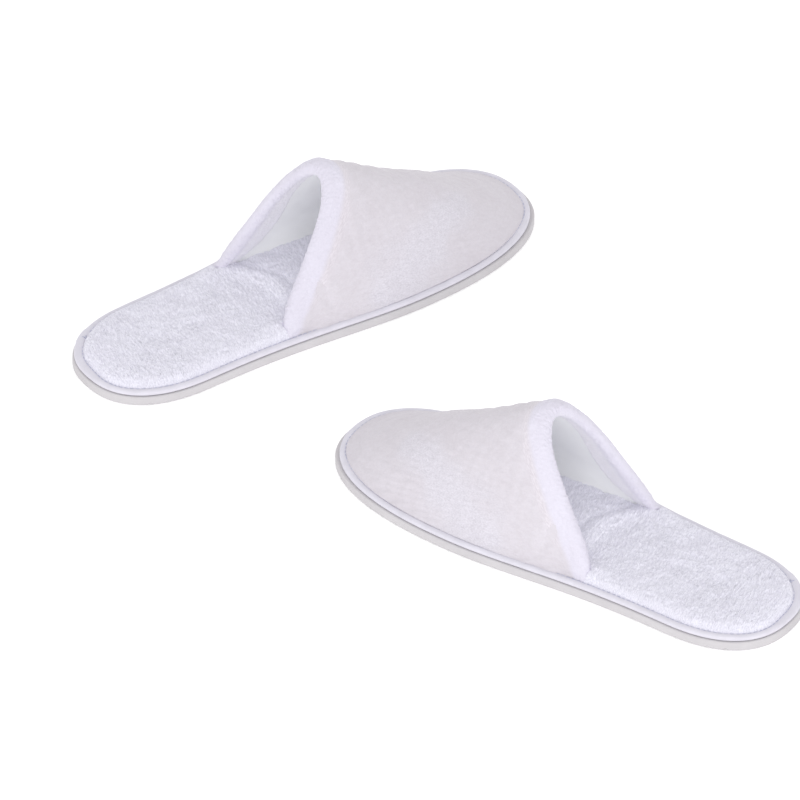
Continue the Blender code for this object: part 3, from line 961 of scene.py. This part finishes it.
def capsule(start, end, radius, sides=7):
    """A short rounded thread between two points."""
    axis = end - start
    length = np.linalg.norm(axis)
    axis = axis / length
    side = np.cross(axis, (0.0, 0.0, 1.0))
    side /= np.linalg.norm(side)
    up = np.cross(side, axis)
    turn = np.linspace(0.0, 2 * math.pi, sides, endpoint=False)
    spokes = np.cos(turn)[:, None] * side + np.sin(turn)[:, None] * up
    rings = [start + axis * length * share + spokes * radius * size
             for share, size in CAPSULE_STATIONS]
    points = np.vstack(rings)
    faces = [tuple(face) for face in grid_faces(len(rings), sides, wrap_columns=True)]
    last = (len(rings) - 1) * sides
    return points, faces, [list(range(sides)), list(range(last, last + sides))]


THREAD_RADIUS, THREAD_HEIGHT = 0.25, 8.0
KNOT_AT, KNOT_HEIGHT = 17.0, 8.3
# Start, end and radius of the knot's two turns and two loose ends.
KNOT_STRANDS = (((-0.6, 0.1, 0.0), (0.6, -0.1, 0.15), 0.5), ((-0.1, -0.5, 0.1), (0.2, 0.6, 0.1), 0.45),
                ((0.2, 0.4, 0.2), (-1.3, 1.6, 0.5), 0.2), ((0.3, 0.2, 0.2), (1.5, 1.5, 0.35), 0.2))


def along_tape(spots):
    """Plan points moved to follow the sway of the tape's inner edge."""
    return spots - outwards(spots) * tape_reach(spots)[:, None]


def stitches():
    """Separate short stitches along the tape's inner edge, and a small knot at the heel."""
    path = ring_at(STITCH_INSET)
    path = np.vstack((path, path[:1]))
    along = travel(path)
    count = int(round(along[-1] / STITCH_PITCH))
    pitch = along[-1] / count
    rng = np.random.default_rng(7)
    points, quads, caps = [], [], []

    def add(start, end, radius):
        base = sum(len(block) for block in points)
        block, faces, ends = capsule(start, end, radius)
        points.append(block)
        quads.extend([tuple(base + corner for corner in face) for face in faces])
        caps.extend([[base + corner for corner in end_face] for end_face in ends])

    for number in range(count):
        middle = (number + 0.5) * pitch + rng.uniform(-0.15, 0.15)
        half = 0.5 * pitch * rng.uniform(0.66, 0.86)
        spots = along_tape(sample(path, along, np.array([middle - half, middle + half])))
        heights = THREAD_HEIGHT + toe_raise(spots[:, 0]) + rng.uniform(-0.08, 0.08, 2)
        add(np.append(spots[0], heights[0]), np.append(spots[1], heights[1]), THREAD_RADIUS)
    curve = inset_edge(STITCH_INSET)
    seam = np.array([(KNOT_AT, np.interp(KNOT_AT, curve[:, 0], curve[:, 1]))])
    knot = np.append(along_tape(seam)[0], KNOT_HEIGHT)
    for start, end, radius in KNOT_STRANDS:
        add(knot + start, knot + end, radius)
    return np.vstack(points), quads, caps


# ---- upper

UPPER_STEPS, AHEAD, ROLL, FOLD = 230, 190, 24, 18
RIM_ROW = AHEAD + FOLD - 1
FOLD_FOOT, FOLD_TOP, FOLD_BELLY = 8.5, 7.0, 7.0


def fold_share(steps):
    """How far forward the fold inside the opening reaches, as a share of each row."""
    edge_row, foot_row = upper_rows(PLUSH, (0.0, 1.0), steps)
    reach = np.linalg.norm(foot_row - edge_row, axis=1)[:steps + 1]
    climb = ease(edge_row[:steps + 1, 2] / (ARCH_RISE + SEAM_TOP))
    belly = FOLD_BELLY * np.sin(math.pi * climb) ** 2
    return (FOLD_FOOT + (FOLD_TOP - FOLD_FOOT) * climb + belly) / reach


def rim_rows(turns, depth, steps):
    """Rows of the rolled rim between the outside and the fold inside."""
    middle = RIM_THICK / 2
    radius = middle - depth
    rows = []
    for turn in turns:
        at = middle - radius * math.cos(turn)
        edge_row, inside_row = upper_rows(at, (0.0, 0.05), steps)
        away = edge_row - inside_row
        away /= np.linalg.norm(away, axis=1)[:, None]
        rows.append(edge_row + radius * math.sin(turn) * away)
    return np.array(rows)


def seam_row(height, steps):
    """The upper's edge that is caught under the tape."""
    curve = inset_edge(SEAM_INSET)
    flank = stretch(curve, SHOULDER_AT, curve[-1, 0], steps)
    flank = np.vstack((flank * (1.0, -1.0), flank[-2::-1]))
    return flat_ring(flank, height)[None]


def plush_grid(depth, steps, ahead, roll, fold):
    """Rows of one side of the plush, from under the tape over the rim to the fold's end."""
    share = fold_share(steps)
    spread = np.linspace(1.0, 0.0, ahead)
    outside = upper_rows(depth, [share + (1.0 - share) * value for value in spread], steps)
    near_rim = upper_rows(depth, [share * value for value in np.linspace(1.0, 0.0, fold)[1:]],
                          steps)
    turns = np.linspace(0.0, math.pi, roll + 2)[1:-1]
    inside = upper_rows(RIM_THICK - depth, [share * value for value in np.linspace(0.0, 1.0, fold)],
                        steps)
    return np.concatenate((seam_row(foot_height(depth), steps), outside, near_rim,
                           rim_rows(turns, depth, steps), inside))


# Where the pile is brushed the other way, in plan; the plush material paints highlights along this
# band.
CRUSH_LINE = ((164.0, -42.0), (186.0, -38.0), (204.0, -32.5), (217.0, -23.5), (232.0, -17.0))
PANEL_ROWS, PANEL_STEPS, PANEL_SLACK, PANEL_SHARE = 27, 34, 0.012, 0.6


def plush_shares():
    """Each row's shares of the way from the opening's edge, 0, to the sole, 1."""
    share = fold_share(UPPER_STEPS)
    share = np.concatenate((share, share[-2::-1]))
    outside = share + (1.0 - share) * np.linspace(1.0, 0.0, AHEAD)[:, None]
    near_rim = share * np.linspace(1.0, 0.0, FOLD)[1:, None]
    round_rim = np.zeros((ROLL + FOLD, len(share)))
    return np.vstack((np.ones(len(share)), outside, near_rim, round_rim))


def panel_swell():
    """Soft unevenness of the padded upper, from a cloth pushed out by its filling."""
    shares = plush_shares()
    panel = upper_rows(0.0, np.linspace(1.0, 0.0, PANEL_ROWS), PANEL_STEPS)
    hold = np.full(panel.shape[:2], 0.4)
    hold[0] = hold[:, 0] = hold[:, -1] = 1.0
    hold[-3:] = 0.85
    move = settled(panel, hold, PANEL_SLACK)
    across = np.arange(2 * UPPER_STEPS + 1) * PANEL_STEPS / UPPER_STEPS
    across = np.broadcast_to(across, shares.shape)
    move = read_field(move, (1.0 - shares) * (PANEL_ROWS - 1), across)
    return PANEL_SHARE * np.clip(move, -0.4, 0.7)


def crush_share(grid):
    """How much the pile is brushed the other way, along a ragged line on the near flank; the plush
    also gets painted highlights there.
    """
    line = np.array(CRUSH_LINE)
    flat = grid[..., :2].reshape(-1, 2)
    nearest = np.full(len(flat), 1e9)
    for start, end in zip(line[:-1], line[1:]):
        run = end - start
        share = np.clip(((flat - start) @ run) / (run @ run), 0.0, 1.0)
        gap = np.linalg.norm(flat - start - share[:, None] * run, axis=1)
        nearest = np.minimum(nearest, gap)
    gap = nearest.reshape(grid.shape[:2]) + 3.0 * read_noise(grid, (9.0, 7.0, 7.0), 46)
    return bell(np.clip(gap - 1.5, 0.0, None), 6.0)


DIMPLE_FROM, DIMPLE_TO = np.array((126.0, -30.5, 37.5)), np.array((133.5, -36.3, 20.0))


def dimple(grid):
    """The slanting pucker above the near lower corner, with a soft swelling beside it."""
    axis = DIMPLE_TO - DIMPLE_FROM
    length = np.linalg.norm(axis)
    axis = axis / length
    along = np.clip((grid - DIMPLE_FROM) @ axis, 0.0, length)
    away = np.linalg.norm(grid - DIMPLE_FROM - along[..., None] * axis, axis=2)
    return 0.4 * bell(away - 7.0, 3.5) - 0.75 * bell(away, 3.0)


# Sizes along the three axes, reach and seed of the panel's soft unevenness.
PANEL_LUMPS = (((38.0, 30.0, 30.0), 0.4, 41), ((15.0, 13.0, 13.0), 0.25, 42),
               ((5.5, 5.0, 5.0), 0.10, 43))


def share_up(grid):
    """Height on the upper as a share of its arch."""
    return np.clip((grid[..., 2] - SEAM_TOP) / ARCH_RISE, 0.0, 1.2)


def padded_form(outer, from_rim, from_seam, inside):
    """How far the padding pushes the upper off its plain shell."""
    up = share_up(outer)
    near_rim = np.exp(-np.clip(from_rim, 0.0, None) / 22.0)
    straighter_flank = -1.5 * ease(up / 0.12) * ease((0.78 - up) / 0.4)
    wider_top = 0.1 * ease((up - 0.62) / 0.15) * ease((1.0 - up) / 0.12)
    lower_arch = -1.5 * ease((up - 0.9) / 0.12)
    lumps = sum(reach * read_noise(outer, sizes, seed) for sizes, reach, seed in PANEL_LUMPS)
    swell = panel_swell() * (1.0 - ease(-from_rim / 3.0))
    beside_seam = 1.35 * np.exp(-from_seam / 9.0)
    over_toes = 1.3 * ease((outer[..., 0] - 195.0) / 40.0) * ease(up / 0.12)
    rolled = 0.45 * ease((6.0 - from_rim) / 5.0) - 0.5 * bell(from_rim - 10.0, 3.5)
    thinner_foot = -1.9 * inside * ease((24.0 - outer[..., 2]) / 12.0)
    facing = 1.0 - 2.0 * inside
    return (facing * (near_rim * (straighter_flank + wider_top + lower_arch) + lumps + swell)
            + (1.0 - inside) * (beside_seam + over_toes) + rolled + thinner_foot)


def pile(outer, from_rim, crushed):
    """Short tufts, longer where the pile is crushed or rolled, and locks along the rim."""
    length = 0.55 + 0.9 * crushed + 1.2 * ease((9.0 - from_rim) / 6.0)
    tufts = (0.2 * np.abs(read_noise(outer, (1.9, 1.3, 1.3), 44))
             + 0.12 * np.abs(read_noise(outer, (1.1, 0.9, 0.9), 45)))
    locks = 0.55 * bell(from_rim + 7.0, 4.5) * np.abs(read_noise(outer, (1.6, 1.4, 1.4), 47))
    return tufts * length + locks


def plush():
    """Short pile over a padded shell: swollen panel, rolled rim, fold inside."""
    outer = plush_grid(0.0, UPPER_STEPS, AHEAD, ROLL, FOLD)
    lengths = row_lengths(outer)
    from_rim = lengths[RIM_ROW] - lengths
    from_seam = lengths - lengths[1]
    inside = ease(-from_rim / 10.0)
    held = ease(from_seam / 0.9)
    crushed = crush_share(outer) * (1.0 - inside)
    lift = held * (padded_form(outer, from_rim, from_seam, inside)
                   + pile(outer, from_rim, crushed)
                   + dimple(outer) * ease((from_rim - 1.0) / 7.0))
    shaped = outer + outer_normals(outer)[0] * lift[..., None]
    spread = (1.1 + 0.4 * ease((outer[..., 0] - 200.0) / 40.0)) * np.exp(-from_seam / 4.0)
    spread *= 1.0 - inside
    spread[0] = 0.0
    sideways = outwards(outer.reshape(-1, 3)).reshape(*spread.shape, 2)
    shaped[..., :2] += sideways * spread[..., None]
    points, quads, caps = shell(shaped, plush_grid(PLUSH, UPPER_STEPS, 14, 5, 3))
    beside_rim = bell(from_rim - 8.0, 3.0) * ease((share_up(outer) - 0.1) / 0.2)
    along_rim = np.broadcast_to(travel(outer[RIM_ROW]), from_rim.shape)
    # Marks for the plush material: rim and fold place painted light, crushed places painted
    # highlights, combed places the strokes beside the rim.
    marks = {"rim": ease((8.0 - from_rim) / 4.5) * held, "crushed": 0.7 * crushed,
             "combed": beside_rim * held, "fold": ease((-from_rim - 8.0) / 7.0),
             "cloth": np.dstack((along_rim, from_rim, np.zeros(from_rim.shape)))}
    for name, values in marks.items():
        values = values.reshape(shaped[..., 0].size, *values.shape[2:])
        behind = np.zeros((len(points) - len(values), *values.shape[1:]))
        marks[name] = np.concatenate((values, behind))
    return points, quads, caps, marks


LINING_ROWS, LINING_STEPS, LINING_LOOSE = 60, 90, 0.55


def lining():
    """Smooth cloth inside, from under the fold down to the footbed, puffed at the sole."""
    share = fold_share(LINING_STEPS) / 2
    shares = [share + (1.0 - share) * value for value in np.linspace(0.0, 1.0, LINING_ROWS)]
    inner = upper_rows(LINING_IN, shares, LINING_STEPS)
    outer = upper_rows(LINING_OUT, shares, LINING_STEPS)
    lengths = row_lengths(inner)
    from_sole = lengths[-1] - lengths
    ripple = (0.5 * read_noise(inner, (30.0, 24.0, 24.0), 51)
              + 0.2 * read_noise(inner, (11.0, 9.0, 9.0), 52)) * ease(from_sole / 12.0)
    deep = inner[..., 0]
    puff = 13.5 * ease((deep - 110.0) / 50.0) + 4.5 * ease((deep - 140.0) / 30.0)
    loose = LINING_LOOSE + ripple + puff * bell(from_sole, 17.0)
    inner = inner - outer_normals(inner)[0] * loose[..., None]
    inner[..., 2] = np.maximum(inner[..., 2], SEAM_TOP)
    points, quads, caps = shell(inner, outer)
    # The low mark places the lining's painted shade beside the sole; the deep mark below places its
    # painted glow.
    low = bell(from_sole, 22.0).ravel()
    return points, quads, caps, {"deep": ease((points[:, 0] - 112.0) / 45.0),
                                 "low": np.concatenate((low, low))}


# ---- the pair

def build_pair():
    """Every visible piece of both slippers."""
    looks = {"terry": terry_look(), "plush": plush_look(), "lining_cloth": lining_look(),
             "binding_tape": tape_look(), "sewing_thread": thread_look(), "eva_foam": eva_look(),
             "padding_foam": foam_look(), "insole_board": board_look()}
    sole = (("outsole", outsole(), "eva_foam", "outsole"),
            ("terry_footbed", footbed(), "terry", "terry_cover"),
            ("sole_pad", pad_layer(), "padding_foam", "insole_foam"),
            ("sole_board", hidden_layer(LAYER_INSET, BOARD_LOW, BOARD_TOP, 90, 7),
             "insole_board", "insole_board"),
            ("edge_tape", binding(), "binding_tape", "binding"),
            ("seam_stitches", stitches(), "sewing_thread", "stitching"))
    upper = (("plush_upper", plush(), "plush", "upper_plush"),
             ("inner_lining", lining(), "lining_cloth", "upper_lining"))
    for side in ("left", "right"):
        for name, (points, quads, caps, *marks), slot, node in sole + upper:
            item = make_piece(name, side, points, quads, caps, looks[slot], slot, *marks)
            if node.startswith("upper"):
                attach(item, f"{side}_forefoot")
                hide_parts(f"{side}_{node}")
            else:
                bend_with_sole(item)
                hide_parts(f"{side}_{node}_front", f"{side}_{node}_heel")
        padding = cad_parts[f"{side}_upper_padding"]
        for number in range(len(padding.material_slots)):
            padding.material_slots[number].material = looks["padding_foam"]


# ---- stage

VIEW_CENTRE = (-0.01895, 0.01025, 0.0)
ELEVATION = math.radians(38.0)
CAMERA_AWAY, VIEW_WIDTH, SENSOR = 12.0, 0.4262, 36.0
FLOOR_REACH = 6.0


def add_floor():
    """A plain pale floor."""
    mesh = bpy.data.meshes.new("floor")
    corners = [(x * FLOOR_REACH, y * FLOOR_REACH, 0.0)
               for x, y in ((-1, -1), (1, -1), (1, 1), (-1, 1))]
    mesh.from_pydata(corners, [], [(0, 1, 2, 3)])
    look = Look("pale_floor", (0.95, 0.95, 0.95), 0.9, specular=0.1)
    look.glow((1.0, 1.0, 1.0), 0.2)
    mesh.materials.append(look.material)
    linked("floor", mesh)


def add_camera():
    """The photo's view: from the front, looking down, with a long lens."""
    data = bpy.data.cameras.new("camera")
    data.sensor_width = SENSOR
    data.lens = SENSOR * CAMERA_AWAY / VIEW_WIDTH
    data.clip_start, data.clip_end = 0.5, 100.0
    camera = linked("camera", data)
    camera.location = (VIEW_CENTRE[0], VIEW_CENTRE[1] - CAMERA_AWAY * math.cos(ELEVATION),
                       CAMERA_AWAY * math.sin(ELEVATION))
    camera.rotation_euler = (math.pi / 2 - ELEVATION, 0.0, 0.0)
    bpy.context.scene.camera = camera


def add_light(name, location, size, power, tint):
    """A soft area light aimed at the slippers."""
    data = bpy.data.lights.new(name, "AREA")
    data.shape, data.size, data.energy, data.color = "DISK", size, power, tint
    light = linked(name, data)
    light.location = location
    away = math.hypot(location[0], location[1])
    light.rotation_euler = (math.atan2(away, location[2]), 0.0,
                            math.atan2(location[1], location[0]) + math.pi / 2)


def add_lights():
    """A white surround and one soft light from the front."""
    world = bpy.data.worlds.new("studio")
    world.use_nodes = True
    background = world.node_tree.nodes["Background"]
    background.inputs["Color"].default_value = (1.0, 1.0, 1.0, 1.0)
    background.inputs["Strength"].default_value = 1.0
    bpy.context.scene.world = world
    add_light("key", (0.0, -3.1, 0.75), 1.4, 25.0, (1.0, 1.0, 1.0))
    bpy.context.scene.view_settings.view_transform = "Standard"


build_pair()
add_floor()
add_camera()
add_lights()
